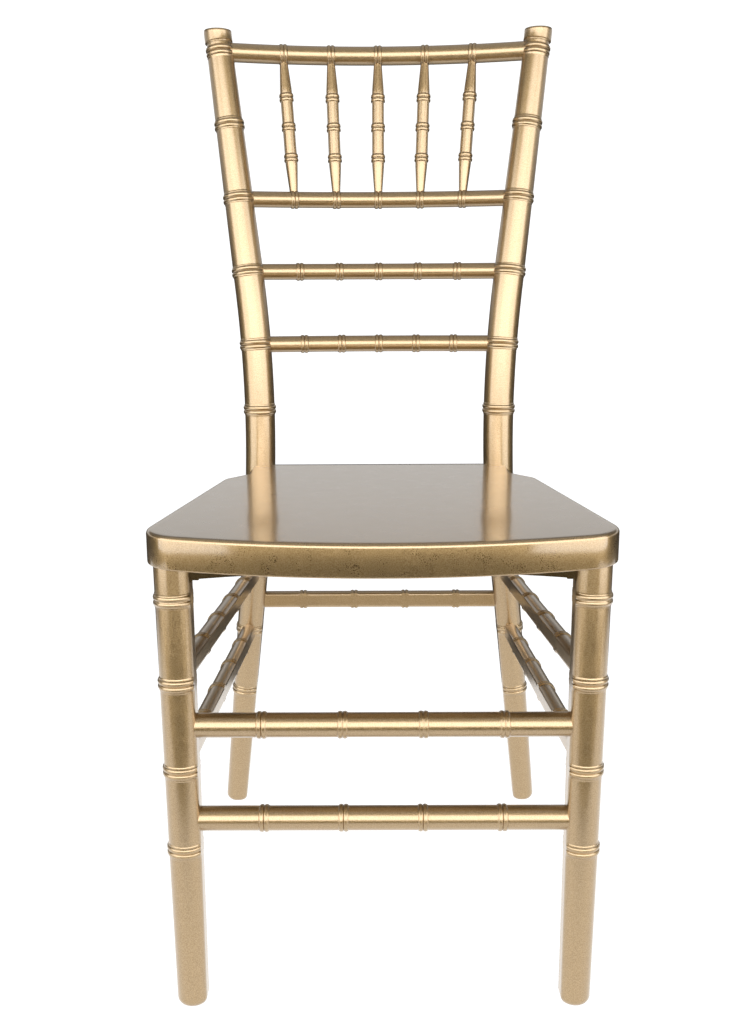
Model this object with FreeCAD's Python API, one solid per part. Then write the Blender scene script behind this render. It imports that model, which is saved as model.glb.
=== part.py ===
import FreeCAD, Part
import math
import os

# Chiavari dining chair, rigid, built as separate turned members that plug into each other.
# X runs across the chair, -Y is the front and +Z is up. The origin is on the floor, under the
# middle of the chair's footprint. All lengths are in millimetres.

# Overall heights and the seat
overall_height = 923.0
seat_height = 440.0
seat_skirt_depth = 29.0
seat_wall = 3.6
seat_plate = 5.0
seat_top_rounding = 3.5

# Seat outline, seen from above: half widths, and distances behind the front feet
seat_front_edge_y = -33.0
seat_front_corner_x = 209.0
seat_front_corner_y = 5.0
seat_front_corner_radius = 42.0
seat_rear_corner_x = 168.5
seat_rear_corner_y = 271.0
seat_rear_corner_radius = 22.0
seat_tab_half_width = 146.5
seat_tab_start_y = 301.0
seat_tab_radius = 14.0
seat_rear_edge_y = 366.0

# Ribs moulded under the seat
rib_depth = 11.0
rib_thickness = 2.8
rib_spacing = 92.0
socket_wall = 3.0

# Front legs: axis at the floor and at the seat, the radii of their bays, and where the rings lie
# as shares of the seat's height
front_foot_x = 174.6
front_foot_y = 2.0
front_leg_top_x = 179.6
front_leg_top_y = 16.0
front_leg_radius_top = 16.7
front_leg_radius_low = 16.1
front_foot_radius = 13.4
front_ring_shares = (0.3455, 0.5148, 0.6966, 0.867)
leg_tenon_radius = 12.0

# Back posts, which are the rear legs too: foot, apex of the bend, and top end of the axis
rear_foot_x = 183.0
rear_foot_y = 403.0
post_apex_x = 128.6
post_apex_y = 352.0
post_apex_z = 495.6
post_top_x = 179.2
post_top_y = 409.0
post_bend_tangent = 155.0
rear_foot_radius = 13.7
post_middle_radius = 17.1
post_top_radius = 14.7
post_ring_shares_below_seat = (0.3614, 0.5386, 0.7136, 0.8705)
post_bend_pieces = 8

# Turned cap on each post, measured down from its top
cap_radius = 15.4
cap_edge = 1.4
cap_depth = 11.5
cap_neck_radius = 13.6
cap_neck_start = 15.0
cap_neck_end = 18.5
cap_ring_radius = 15.9
cap_ring_depth = 23.5
cap_ring_end = 28.5

# Flats on the inner side of every member below the seat, and the rounded feet
leg_flat_depth = 1.8
stretcher_flat_depth = 2.5
rear_stretcher_flat_depth = 3.6
foot_rounding = 7.0

# Rings: half width and height of each, by the size of the member
leg_ring_half = 4.8
leg_ring_height = 1.7
stretcher_ring_half = 4.2
stretcher_ring_height = 1.4
rail_ring_half = 4.0
rail_ring_height = 1.3

# Stretchers between the legs: heights of their axes and their radii
front_stretcher_radius = 10.9
front_upper_height = 266.0
front_lower_height = 178.5
front_stretcher_set_back = 1.0
side_stretcher_radius = 9.6
side_upper_front_height = 318.0
side_upper_rear_height = 309.0
side_lower_front_height = 241.5
side_lower_rear_height = 235.0
side_stretcher_inset = 5.5
rear_stretcher_radius = 9.9
rear_stretcher_height = 273.0
stretcher_bays = 5

# Bowed back rails: how far the crest lies below the posts' tops, where the other rails lie as a
# share of the way from seat to crest, and each rail's radius and bow to the rear
crest_drop = 23.0
crest_radius = 10.1
crest_bow = 28.0
upper_rail_share = 0.6522
upper_rail_radius = 8.9
upper_rail_bow = 25.0
middle_rail_share = 0.4772
middle_rail_radius = 8.9
middle_rail_bow = 18.0
lower_rail_share = 0.3011
lower_rail_radius = 8.9
lower_rail_bow = 11.0
rail_end_run = 25.0

# Rings on the posts that carry no rail, above the upper rail and below the lower one
high_ring_share = 0.8261
low_ring_share = 0.1413

# Spindles between the crest and the upper rail
spindle_names = ("far_left", "left", "centre", "right", "far_right")
spindle_pitch_share = 0.1522
spindle_end_radius = 4.6
spindle_radius = 6.9
spindle_taper_share = 0.19
spindle_ring_shares = (0.2875, 0.5, 0.703)
spindle_ring_half = 3.4
spindle_ring_height = 1.2

# Seat frame rails under the seat
seat_rail_height = 28.0
seat_rail_thickness = 12.0
front_rail_thickness = 14.0
front_rail_corner_radius = 6.0
front_rail_corner_drop = 2.0
front_rail_arch = 6.0
side_rail_front_x = 168.0
side_rail_rear_x = 128.0
rear_rail_set_forward = 7.3

# Plug joints: square plugs keep each member from turning
plug_half = 4.5
rail_plug_half = 3.6
spindle_plug_half = 2.2
seat_rail_plug_half = 3.5
plug_depth = 9.0
spindle_plug_depth = 6.0
seat_rail_plug_depth = 7.0
seat_rail_plug_height = 10.0
plug_clearance = 0.2
plug_end_gap = 0.6
shoulder_gap = 0.12
seat_gap = 0.25

# Glides pressed into the feet
glide_radius = 6.0
glide_thickness = 1.2
glide_stem_half = 2.0
glide_stem_length = 11.0

UP = FreeCAD.Vector(0, 0, 1)
ACROSS = FreeCAD.Vector(1, 0, 0)
REARWARD = FreeCAD.Vector(0, 1, 0)
ORIGIN = FreeCAD.Vector(0, 0, 0)


def blend(a, b, t):
    """Value that lies the share t of the way from a to b."""
    return a + (b - a) * t


# Levels that follow from the sizes above
crest_height = overall_height - crest_drop
upper_rail_height = blend(seat_height, crest_height, upper_rail_share)
middle_rail_height = blend(seat_height, crest_height, middle_rail_share)
lower_rail_height = blend(seat_height, crest_height, lower_rail_share)
front_ring_heights = [seat_height * share for share in front_ring_shares]
post_ring_heights = [seat_height * share for share in post_ring_shares_below_seat]
post_ring_heights += [blend(seat_height, crest_height, low_ring_share), lower_rail_height,
                      middle_rail_height, upper_rail_height,
                      blend(seat_height, crest_height, high_ring_share)]
seat_underside = seat_height - seat_plate
skirt_bottom = seat_height - seat_skirt_depth
rib_bottom = seat_underside - rib_depth
rail_top = rib_bottom
rail_bottom = rail_top - seat_rail_height
overrun = 2.0
far = 2.0 * overall_height

# Reach of the searches below: bisection steps, and how near an edge must lie to a place
search_steps = 40
edge_search_reach = 1.0
level_slack = 0.01


def vec(x, y, z):
    return FreeCAD.Vector(x, y, z)


def mirrored(shape):
    """The same piece on the other side of the chair."""
    return shape.mirror(ORIGIN, ACROSS)


def both_sides(shape):
    return [shape, mirrored(shape)]


def cylinder(start, end, radius):
    along = end - start
    return Part.makeCylinder(radius, along.Length, start, along)


# Turned members: a member is a chain of round sections along its axis


def section(point, direction, radius):
    """Round section across a member's axis."""
    circle = Part.Wire(Part.makeCircle(radius))
    circle.Placement = FreeCAD.Placement(point, FreeCAD.Rotation(UP, direction))
    return circle


def ring_sections(point, direction, radius_before, radius_after, half, height, grow=0.0):
    """Three sections that raise a ring between two bays of a member."""
    crest = (radius_before + radius_after) / 2 + height
    return [section(point - direction * half, direction, radius_before + grow),
            section(point, direction, crest + grow),
            section(point + direction * half, direction, radius_after + grow)]


def member(sections):
    return Part.makeLoft(sections, True, True)


def foot_sections(foot, axis, radius, grow):
    """Rounded lower end of a leg that stands on its glide."""
    sole = radius - foot_rounding
    bulge = foot_rounding * math.sqrt(0.5)
    levels = ((0.0, sole), (foot_rounding - bulge, sole + bulge), (foot_rounding, radius))
    return [section(foot + axis * rise, axis, level_radius + grow)
            for rise, level_radius in levels]


def level_sole(foot):
    """Block that cuts a leaning leg level where it rests on its glide."""
    wide = 2 * (front_foot_radius + rear_foot_radius)
    return Part.makeBox(2 * wide, 2 * wide, wide + glide_thickness,
                        foot - vec(wide, wide, wide))


def flat_cutter(start, end, inward, start_radius, end_radius, depth):
    """Block that cuts a flat of this depth along one side of a tapered bar."""
    axis = (end - start).normalize()
    inward = (inward - axis * inward.dot(axis)).normalize()
    side = axis.cross(inward)
    wide = start_radius + end_radius
    corners = [start + inward * (start_radius - depth), end + inward * (end_radius - depth),
               end + inward * wide, start + inward * wide]
    corners = [corner - side * wide for corner in corners]
    face = Part.Face(Part.makePolygon(corners + corners[:1]))
    return face.extrude(side * (2 * wide))


# Front legs

front_foot = vec(-front_foot_x, front_foot_y, 0)
front_top = vec(-front_leg_top_x, front_leg_top_y, skirt_bottom - seat_gap)
front_leg_axis = (front_top - front_foot).normalize()


def front_leg_point(height):
    """Point on the left front leg's axis at this height above the floor."""
    return front_foot + (front_top - front_foot) * (height / front_top.z)


def front_leg_radius(height):
    """Radius of the front leg's bay at this height. The bays step at the rings."""
    below = [ring for ring in front_ring_heights if ring < height]
    share = len(below) / len(front_ring_heights)
    return blend(front_leg_radius_low, front_leg_radius_top, share)


def front_leg_body(grow=0.0):
    """Left front leg without its mortises. With grow it is the leg's envelope."""
    sections = foot_sections(front_foot, front_leg_axis, front_foot_radius, grow)
    for height in front_ring_heights:
        sections += ring_sections(front_leg_point(height), front_leg_axis,
                                  front_leg_radius(height),
                                  front_leg_radius(height + leg_ring_half),
                                  leg_ring_half, leg_ring_height, grow)
    shoulder = front_top + UP * grow
    sections.append(section(shoulder + front_leg_axis * overrun, front_leg_axis,
                            front_leg_radius_top + grow))
    leg = member(sections)
    flat = flat_cutter(front_foot, front_leg_point(skirt_bottom + overrun), ACROSS,
                       front_foot_radius + leg_flat_depth + grow,
                       front_leg_radius_top + grow, leg_flat_depth)
    wide = 2 * front_leg_radius_top
    above = Part.makeBox(2 * wide, 2 * wide, wide, shoulder - vec(wide, wide, 0))
    return leg.cut([flat, level_sole(front_foot), above])


def leg_tenon(grow, low, high):
    """Upright cylinder round the tenon on top of the front leg, between two heights."""
    foot_of_tenon = vec(front_top.x, front_top.y, low)
    return Part.makeCylinder(leg_tenon_radius + grow, high - low, foot_of_tenon)


# Back posts

post_foot = vec(-rear_foot_x, rear_foot_y, 0)
post_apex = vec(-post_apex_x, post_apex_y, post_apex_z)
post_top = vec(-post_top_x, post_top_y, overall_height)
lower_axis = (post_apex - post_foot).normalize()
upper_axis = (post_top - post_apex).normalize()
bend_start = post_apex - lower_axis * post_bend_tangent
bend_end = post_apex + upper_axis * post_bend_tangent
bend_angle = lower_axis.getAngle(upper_axis)
bend_radius = post_bend_tangent / math.tan(bend_angle / 2)
bend_normal = (upper_axis - lower_axis * math.cos(bend_angle)).normalize()
bend_centre = bend_start + bend_normal * bend_radius


def bend_point(angle):
    """Point and direction on the post's bend, this angle past its start."""
    out = bend_normal * math.cos(angle) - lower_axis * math.sin(angle)
    direction = lower_axis * math.cos(angle) + bend_normal * math.sin(angle)
    return bend_centre - out * bend_radius, direction


def post_point(height):
    """Point on the left post's axis at this height, and the axis direction there."""
    if height <= bend_start.z:
        return post_foot + lower_axis * (height / lower_axis.z), lower_axis
    if height >= bend_end.z:
        return bend_end + upper_axis * ((height - bend_end.z) / upper_axis.z), upper_axis
    low, high = 0.0, bend_angle
    for _ in range(search_steps):
        middle = (low + high) / 2
        if bend_point(middle)[0].z < height:
            low = middle
        else:
            high = middle
    return bend_point(low)


def post_radius(height):
    """Radius of the post's bay at this height. The bays step at the rings."""
    rings = post_ring_heights
    if bend_start.z < height < bend_end.z:
        return post_middle_radius
    if height <= bend_start.z:
        lower_rings = [ring for ring in rings if ring < bend_start.z]
        passed = len([ring for ring in lower_rings if ring < height])
        share = (passed + 1) / (len(lower_rings) + 1)
        return blend(rear_foot_radius, post_middle_radius, share)
    upper_rings = [ring for ring in rings if ring > bend_end.z]
    passed = len([ring for ring in upper_rings if ring < height])
    return blend(post_middle_radius, post_top_radius, passed / len(upper_rings))


def cap_sections(grow):
    """Sections of the turned cap, from the post's last bay to its level top."""
    _, axis = post_point(overall_height)
    turned = ((cap_ring_end, post_top_radius), (cap_ring_depth, cap_ring_radius),
              (cap_neck_end, cap_neck_radius), (cap_neck_start, cap_neck_radius),
              (cap_depth, cap_radius))
    sections = [section(post_point(overall_height - depth)[0], axis, radius + grow)
                for depth, radius in turned]
    edge = post_point(overall_height - cap_edge)[0]
    sections.append(section(edge, UP, cap_radius + grow))
    sections.append(section(post_top + UP * grow, UP, cap_radius - cap_edge + grow))
    return sections


def post_stations():
    """Heights of the post's plain sections along the bend, clear of the rings."""
    angles = [bend_angle * piece / post_bend_pieces for piece in range(post_bend_pieces + 1)]
    heights = [bend_point(angle)[0].z for angle in angles]
    clear = 2 * leg_ring_half
    return [height for height in heights
            if all(abs(height - ring) > clear for ring in post_ring_heights)]


def post_body(grow=0.0):
    """Left post without its mortises. With grow it is the post's envelope."""
    marks = [(height, "ring") for height in post_ring_heights]
    marks += [(height, "plain") for height in post_stations()]
    sections = foot_sections(post_foot, lower_axis, rear_foot_radius, grow)
    for height, kind in sorted(marks):
        point, direction = post_point(height)
        if kind == "plain":
            sections.append(section(point, direction, post_radius(height) + grow))
        else:
            sections += ring_sections(point, direction, post_radius(height - leg_ring_half),
                                      post_radius(height + leg_ring_half), leg_ring_half,
                                      leg_ring_height, grow)
    post = member(sections + cap_sections(grow))
    low, high = post_foot, post_point(skirt_bottom)[0]
    flat = flat_cutter(low, high, ACROSS, rear_foot_radius + leg_flat_depth + grow,
                       post_middle_radius + grow, leg_flat_depth)
    return post.cut([flat, level_sole(post_foot)])


# Boards and square plugs, all lying level


def board(start, end, thickness, bottom, top):
    """Upright board of this thickness between two points, seen from above."""
    along = vec(end.x - start.x, end.y - start.y, 0).normalize()
    side = UP.cross(along) * (thickness / 2)
    low_start = vec(start.x, start.y, bottom)
    low_end = vec(end.x, end.y, bottom)
    corners = [low_start - side, low_end - side, low_end + side, low_start + side]
    return Part.Face(Part.makePolygon(corners + corners[:1])).extrude(UP * (top - bottom))


def plug_joint(host_point, out, host_reach, half, depth, half_height=None):
    """Square plug of a member that leaves its host in direction out, and its mortise."""
    half_height = half_height or half
    out = vec(out.x, out.y, 0).normalize()
    face = host_point + out * host_reach
    root = face + out * depth
    tip = face - out * depth
    plug = board(root, tip, 2 * half, face.z - half_height, face.z + half_height)
    wide = half + plug_clearance
    tall = half_height + plug_clearance
    hole = board(root, tip - out * plug_end_gap, 2 * wide, face.z - tall, face.z + tall)
    return plug, hole


def cross_member(body, hosts, plugs):
    """Member cut back to its hosts' surfaces, with a plug into each of them."""
    return body.cut(hosts).fuse(plugs).removeSplitter()


# Stretchers


def stretcher(start, end, radius, inward, flat_depth):
    """Turned stretcher with a ring at each bay line and a flat on its inner side."""
    along = (end - start).normalize()
    sections = [section(start, along, radius)]
    for bay in range(1, stretcher_bays):
        point = start + (end - start) * (bay / stretcher_bays)
        sections += ring_sections(point, along, radius, radius, stretcher_ring_half,
                                  stretcher_ring_height)
    sections.append(section(end, along, radius))
    return member(sections).cut(flat_cutter(start, end, inward, radius, radius, flat_depth))


# Bowed back rails


def rail_arc(height, bow):
    """Centre and radius of the arc that a back rail's axis follows, and its left end."""
    left, _ = post_point(height)
    arc_radius = (left.x ** 2 + bow ** 2) / (2 * bow)
    return vec(0, left.y + bow - arc_radius, height), arc_radius, left


def rail_point(centre, arc_radius, angle):
    """Point on the rail's axis and its direction, this angle from the middle."""
    out = vec(math.sin(angle), math.cos(angle), 0)
    return centre + out * arc_radius, vec(math.cos(angle), -math.sin(angle), 0)


def rail_ring_angles(left, arc_radius):
    """Angles of the rings along a back rail, one at each spindle line."""
    pitch = -2 * left.x * spindle_pitch_share
    count = len(spindle_names)
    return [math.asin(pitch * (index - (count - 1) / 2) / arc_radius) for index in range(count)]


def back_rail_body(height, radius, bow, grow=0.0):
    """Bowed round rail from post to post, with its rings. It runs straight into each post."""
    centre, arc_radius, left = rail_arc(height, bow)
    bowed_half = math.asin(-left.x / arc_radius) - rail_end_run / arc_radius
    start, start_along = rail_point(centre, arc_radius, -bowed_half)
    end, end_along = rail_point(centre, arc_radius, bowed_half)
    sections = [section(start - start_along * rail_end_run, start_along, radius + grow),
                section(start, start_along, radius + grow)]
    for angle in rail_ring_angles(left, arc_radius):
        point, along = rail_point(centre, arc_radius, angle)
        sections += ring_sections(point, along, radius, radius, rail_ring_half,
                                  rail_ring_height, grow)
    sections += [section(end, end_along, radius + grow),
                 section(end + end_along * rail_end_run, end_along, radius + grow)]
    return member(sections)


# Build the hosts first, then everything that plugs into them

leg_shells = both_sides(front_leg_body(shoulder_gap))
post_shells = both_sides(post_body(shoulder_gap))
leg_holes = []
post_holes = []
parts = {}


def add_front_stretcher(name, height):
    left = front_leg_point(height) + REARWARD * front_stretcher_set_back
    right = vec(-left.x, left.y, left.z)
    body = stretcher(left, right, front_stretcher_radius, REARWARD, stretcher_flat_depth)
    plug, hole = plug_joint(left, ACROSS, front_leg_radius(height) - leg_flat_depth, plug_half,
                            plug_depth)
    leg_holes.append(hole)
    parts[name] = cross_member(body, leg_shells, both_sides(plug))


def add_rear_stretcher():
    left, _ = post_point(rear_stretcher_height)
    right = vec(-left.x, left.y, left.z)
    body = stretcher(left, right, rear_stretcher_radius, -REARWARD, rear_stretcher_flat_depth)
    plug, hole = plug_joint(left, ACROSS, post_radius(rear_stretcher_height) - leg_flat_depth,
                            plug_half, plug_depth)
    post_holes.append(hole)
    parts["rear_stretcher"] = cross_member(body, post_shells, both_sides(plug))


def add_side_stretchers(name, front_height, rear_height):
    start = front_leg_point(front_height) + ACROSS * side_stretcher_inset
    end, _ = post_point(rear_height)
    body = stretcher(start, end, side_stretcher_radius, ACROSS, stretcher_flat_depth)
    along = end - start
    front_plug, front_hole = plug_joint(start, along, front_leg_radius(front_height), plug_half,
                                        plug_depth)
    rear_plug, rear_hole = plug_joint(end, -along, post_radius(rear_height), plug_half,
                                      plug_depth)
    leg_holes.append(front_hole)
    post_holes.append(rear_hole)
    left = cross_member(body, [leg_shells[0], post_shells[0]], [front_plug, rear_plug])
    parts[name + "_left"] = left
    parts[name + "_right"] = mirrored(left)


def add_back_rail(name, height, radius, bow, rail_holes=()):
    centre, arc_radius, left = rail_arc(height, bow)
    _, along = rail_point(centre, arc_radius, math.asin(left.x / arc_radius))
    plug, hole = plug_joint(left, along, post_radius(height), rail_plug_half, plug_depth)
    post_holes.append(hole)
    rail = cross_member(back_rail_body(height, radius, bow), post_shells, both_sides(plug))
    if rail_holes:
        rail = rail.cut(rail_holes)
    parts[name] = rail


def spindle_plug(point, reach, along):
    """Upright square plug at one end of a spindle, and its mortise in the rail."""
    face = point + along * reach
    low = min(face.z - spindle_plug_depth, face.z + spindle_plug_depth)
    half = spindle_plug_half
    wide = half + plug_clearance
    plug = Part.makeBox(2 * half, 2 * half, 2 * spindle_plug_depth,
                        vec(face.x - half, face.y - half, low))
    hole = Part.makeBox(2 * wide, 2 * wide, 2 * (spindle_plug_depth + plug_end_gap),
                        vec(face.x - wide, face.y - wide, low - plug_end_gap))
    return plug, hole


def spindle_body(low, high):
    """Slim spindle with rings, full in the middle and tapered to its ends."""
    along = (high - low).normalize()
    taper = along * (low.distanceToPoint(high) * spindle_taper_share)
    low_end = low + along * upper_rail_radius
    high_end = high - along * crest_radius
    sections = [section(low_end - along * spindle_plug_depth, along, spindle_end_radius),
                section(low_end, along, spindle_end_radius),
                section(low_end + taper, along, spindle_radius)]
    for share in spindle_ring_shares:
        sections += ring_sections(blend(low, high, share), along, spindle_radius,
                                  spindle_radius, spindle_ring_half, spindle_ring_height)
    sections += [section(high_end - taper, along, spindle_radius),
                 section(high_end, along, spindle_end_radius),
                 section(high_end + along * spindle_plug_depth, along, spindle_end_radius)]
    return member(sections)


def add_spindles():
    """All spindles, and the mortises that they need in the upper rail and the crest."""
    upper_centre, upper_arc, upper_left = rail_arc(upper_rail_height, upper_rail_bow)
    crest_centre, crest_arc, crest_left = rail_arc(crest_height, crest_bow)
    low_angles = rail_ring_angles(upper_left, upper_arc)
    high_angles = rail_ring_angles(crest_left, crest_arc)
    hosts = [back_rail_body(upper_rail_height, upper_rail_radius, upper_rail_bow, shoulder_gap),
             back_rail_body(crest_height, crest_radius, crest_bow, shoulder_gap)]
    low_holes, high_holes = [], []
    for name, low_angle, high_angle in zip(spindle_names, low_angles, high_angles):
        low = rail_point(upper_centre, upper_arc, low_angle)[0]
        high = rail_point(crest_centre, crest_arc, high_angle)[0]
        along = (high - low).normalize()
        low_plug, low_hole = spindle_plug(low, upper_rail_radius, along)
        high_plug, high_hole = spindle_plug(high, crest_radius, -along)
        low_holes.append(low_hole)
        high_holes.append(high_hole)
        parts["spindle_" + name] = cross_member(spindle_body(low, high), hosts,
                                                [low_plug, high_plug])
    return low_holes, high_holes


# Seat frame rails


def rail_plug(host_point, out, host_reach, low=rail_bottom + overrun):
    """Flat plug of a seat rail, low enough to enter the leg below its shoulder."""
    middle = low + seat_rail_plug_height / 2
    point = vec(host_point.x, host_point.y, middle)
    return plug_joint(point, out, host_reach, seat_rail_plug_half, seat_rail_plug_depth,
                      seat_rail_plug_height / 2)


def reach_at(radius, offset):
    """How far a round post of this radius reaches at this offset from its axis."""
    return math.sqrt(radius ** 2 - offset ** 2)


def front_rail_opening(inner_x, y):
    """Arched space under the front rail, with a rounded corner at each leg."""
    corner = front_rail_corner_radius
    corner_low = rail_bottom - front_rail_corner_drop
    spring = corner_low + corner
    turn = corner * (1 - math.sqrt(0.5))
    base = corner_low - overrun
    left_low = vec(-inner_x, y, corner_low)
    left_turn = vec(-inner_x + turn, y, spring - turn)
    left_spring = vec(-inner_x + corner, y, spring)
    right_spring = vec(inner_x - corner, y, spring)
    right_turn = vec(inner_x - turn, y, spring - turn)
    right_low = vec(inner_x, y, corner_low)
    edges = [Part.Arc(left_low, left_turn, left_spring).toShape(),
             Part.Arc(left_spring, vec(0, y, spring + front_rail_arch), right_spring).toShape(),
             Part.Arc(right_spring, right_turn, right_low).toShape(),
             Part.makeLine(right_low, vec(inner_x, y, base)),
             Part.makeLine(vec(inner_x, y, base), vec(-inner_x, y, base)),
             Part.makeLine(vec(-inner_x, y, base), left_low)]
    return Part.Face(Part.Wire(edges)).extrude(REARWARD * (2 * front_rail_thickness))


def add_seat_rails(sockets):
    """Front, rear and side rails of the frame under the seat. Returns the rear boards."""
    height = (rail_top + rail_bottom) / 2
    front_left = front_leg_point(height)
    front_radius = front_leg_radius(height)
    flat_reach = front_radius - leg_flat_depth
    body = board(front_left, vec(-front_left.x, front_left.y, height), front_rail_thickness,
                 rail_bottom - front_rail_corner_drop, rail_top)
    inner_x = -front_left.x - flat_reach
    body = body.cut(front_rail_opening(inner_x, front_left.y - front_rail_thickness))
    plug, hole = rail_plug(front_left, ACROSS, flat_reach)
    leg_holes.append(hole)
    parts["front_seat_rail"] = cross_member(body, leg_shells + sockets, both_sides(plug))

    post_left, _ = post_point(height)
    rear_left = post_left - REARWARD * rear_rail_set_forward
    rear_body = board(rear_left, vec(-rear_left.x, rear_left.y, height), seat_rail_thickness,
                      rail_bottom, rail_top)
    rear_reach = reach_at(post_middle_radius, rear_rail_set_forward)
    plug, hole = rail_plug(rear_left, ACROSS, rear_reach,
                           rail_top - overrun - seat_rail_plug_height)
    post_holes.append(hole)
    parts["rear_seat_rail"] = cross_member(rear_body, post_shells, both_sides(plug))

    start = vec(-side_rail_front_x, front_left.y, height)
    end = vec(-side_rail_rear_x, post_left.y, height)
    share = (rear_left.y - start.y) / (end.y - start.y)
    side_body = board(start, blend(start, end, share), seat_rail_thickness, rail_bottom,
                      rail_top)
    front_plug, hole = rail_plug(start, end - start,
                                 reach_at(front_radius, start.x - front_left.x))
    leg_holes.append(hole)
    rear_plug, hole = rail_plug(end, start - end,
                                reach_at(post_middle_radius, end.x - post_left.x))
    post_holes.append(hole)
    parts["rear_seat_rail"] = parts["rear_seat_rail"].cut(both_sides(hole))
    front_face = front_left + ACROSS * flat_reach
    front_space = front_rail_thickness + 2 * seat_gap
    beside_front = board(front_face, vec(-front_face.x, front_face.y, height), front_space,
                         rail_bottom, rail_top)
    above_leg = board(front_left, front_face, front_space, front_top.z, rail_top)
    behind_seat = board(rear_left, vec(-rear_left.x, rear_left.y, height),
                        seat_rail_thickness + 2 * seat_gap, rail_bottom, rail_top)
    side_body = side_body.cut(behind_seat)
    left = cross_member(side_body, [leg_shells[0], post_shells[0], sockets[0]],
                        [front_plug, rear_plug]).cut([beside_front, above_leg])
    parts["side_seat_rail_left"] = left
    parts["side_seat_rail_right"] = mirrored(left)
    beside_side = board(start, end, seat_rail_thickness + 2 * seat_gap, rail_bottom, rail_top)
    return [behind_seat] + both_sides(beside_side)


# Seat


def seat_outline():
    """Closed outline of the seat's outer face, with sharp corners."""
    corner = vec(seat_front_corner_x, seat_front_corner_y, skirt_bottom)
    rear = vec(seat_rear_corner_x, seat_rear_corner_y, skirt_bottom)
    tab = vec(seat_tab_half_width, seat_tab_start_y, skirt_bottom)
    end = vec(seat_tab_half_width, seat_rear_edge_y, skirt_bottom)
    right = [corner, rear, tab, end]
    walls = right + [vec(-p.x, p.y, p.z) for p in reversed(right)]
    front = Part.Arc(walls[-1], vec(0, seat_front_edge_y, skirt_bottom), corner).toShape()
    edges = [front] + [Part.makeLine(a, b) for a, b in zip(walls, walls[1:])]
    return Part.Face(Part.Wire(edges))


def upright_edges_at(solid, x, y):
    """Upright edges of a solid at this place, on either side of the chair."""
    found = []
    for edge in solid.Edges:
        box = edge.BoundBox
        here = max(abs(abs(box.Center.x) - x), abs(box.Center.y - y)) < edge_search_reach
        if here and box.ZLength > seat_skirt_depth / 2:
            found.append(edge)
    return found


def seat_block():
    """Solid block with the seat's outer form."""
    block = seat_outline().extrude(UP * seat_skirt_depth)
    for x, y, radius in ((seat_front_corner_x, seat_front_corner_y, seat_front_corner_radius),
                         (seat_rear_corner_x, seat_rear_corner_y, seat_rear_corner_radius),
                         (seat_tab_half_width, seat_tab_start_y, seat_tab_radius)):
        block = block.makeFillet(radius, upright_edges_at(block, x, y))
    return block


def level_edges(solid, height):
    return [edge for edge in solid.Edges
            if max(edge.BoundBox.ZLength, abs(edge.BoundBox.Center.z - height)) < level_slack]


def seat_cavity(block):
    """Hollow under the seat plate, inside the skirt."""
    outline = Part.Face(block.slice(UP, (skirt_bottom + seat_height) / 2)[0])
    cavity = Part.Face(outline.makeOffset2D(-seat_wall).Wires[0])
    cavity.translate(UP * (skirt_bottom - overrun - cavity.BoundBox.Center.z))
    return cavity.extrude(UP * (seat_underside - skirt_bottom + overrun))


def rib_places(start, end):
    """Evenly spaced rib positions inside a span, about its middle."""
    count = int((end - start) / 2 // rib_spacing)
    middle = (start + end) / 2
    return [middle + index * rib_spacing for index in range(-count, count + 1)]


def seat_ribs(cavity):
    """Grid of ribs under the seat plate."""
    box = cavity.BoundBox
    half = rib_thickness / 2
    ribs = [Part.makeBox(rib_thickness, far, rib_depth, vec(x - half, -far / 2, rib_bottom))
            for x in rib_places(box.XMin, box.XMax)]
    ribs += [Part.makeBox(far, rib_thickness, rib_depth, vec(-far / 2, y - half, rib_bottom))
             for y in rib_places(box.YMin, box.YMax)]
    return ribs[0].fuse(ribs[1:]).common(cavity)


def post_hole_in_seat(grow):
    """Space that a post takes where it passes the seat, as a plain cylinder."""
    low, direction = post_point(skirt_bottom - overrun)
    high, _ = post_point(seat_height + overrun)
    return cylinder(low - direction * overrun, high + direction * overrun,
                    post_middle_radius + grow)


def add_seat(sockets, rail_boards):
    block = seat_block()
    post_walls = both_sides(post_hole_in_seat(seat_gap + seat_wall))
    cavity = seat_cavity(block).cut(post_walls)
    ribs = seat_ribs(cavity)
    block = block.makeFillet(seat_top_rounding, level_edges(block, seat_height))
    corner_sockets = [socket.common(cavity) for socket in sockets]
    seat = block.cut(cavity).fuse([ribs] + corner_sockets)
    notches = [rail.common(wall) for rail in rail_boards for wall in post_walls]
    notches = [notch for notch in notches if notch.Solids]
    tenon_bore = leg_tenon(seat_gap, skirt_bottom - overrun, seat_underside)
    clearances = both_sides(post_hole_in_seat(seat_gap)) + both_sides(tenon_bore)
    parts["seat"] = seat.cut(clearances + notches).removeSplitter()


# Glides


def add_glides():
    """Flat glide with a square stem under each foot, and the hole for its stem."""
    for name, foot, holes in (("front", front_foot, leg_holes), ("rear", post_foot, post_holes)):
        half = glide_stem_half
        wide = half + plug_clearance
        disc = Part.makeCylinder(glide_radius, glide_thickness, foot)
        stem = Part.makeBox(2 * half, 2 * half, glide_stem_length,
                            vec(foot.x - half, foot.y - half, glide_thickness))
        hole = Part.makeBox(2 * wide, 2 * wide, glide_stem_length + plug_end_gap,
                            vec(foot.x - wide, foot.y - wide, glide_thickness))
        holes.append(hole)
        parts["foot_glide_" + name + "_left"] = disc.fuse(stem)
        parts["foot_glide_" + name + "_right"] = mirrored(disc.fuse(stem))


# Assembly

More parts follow.
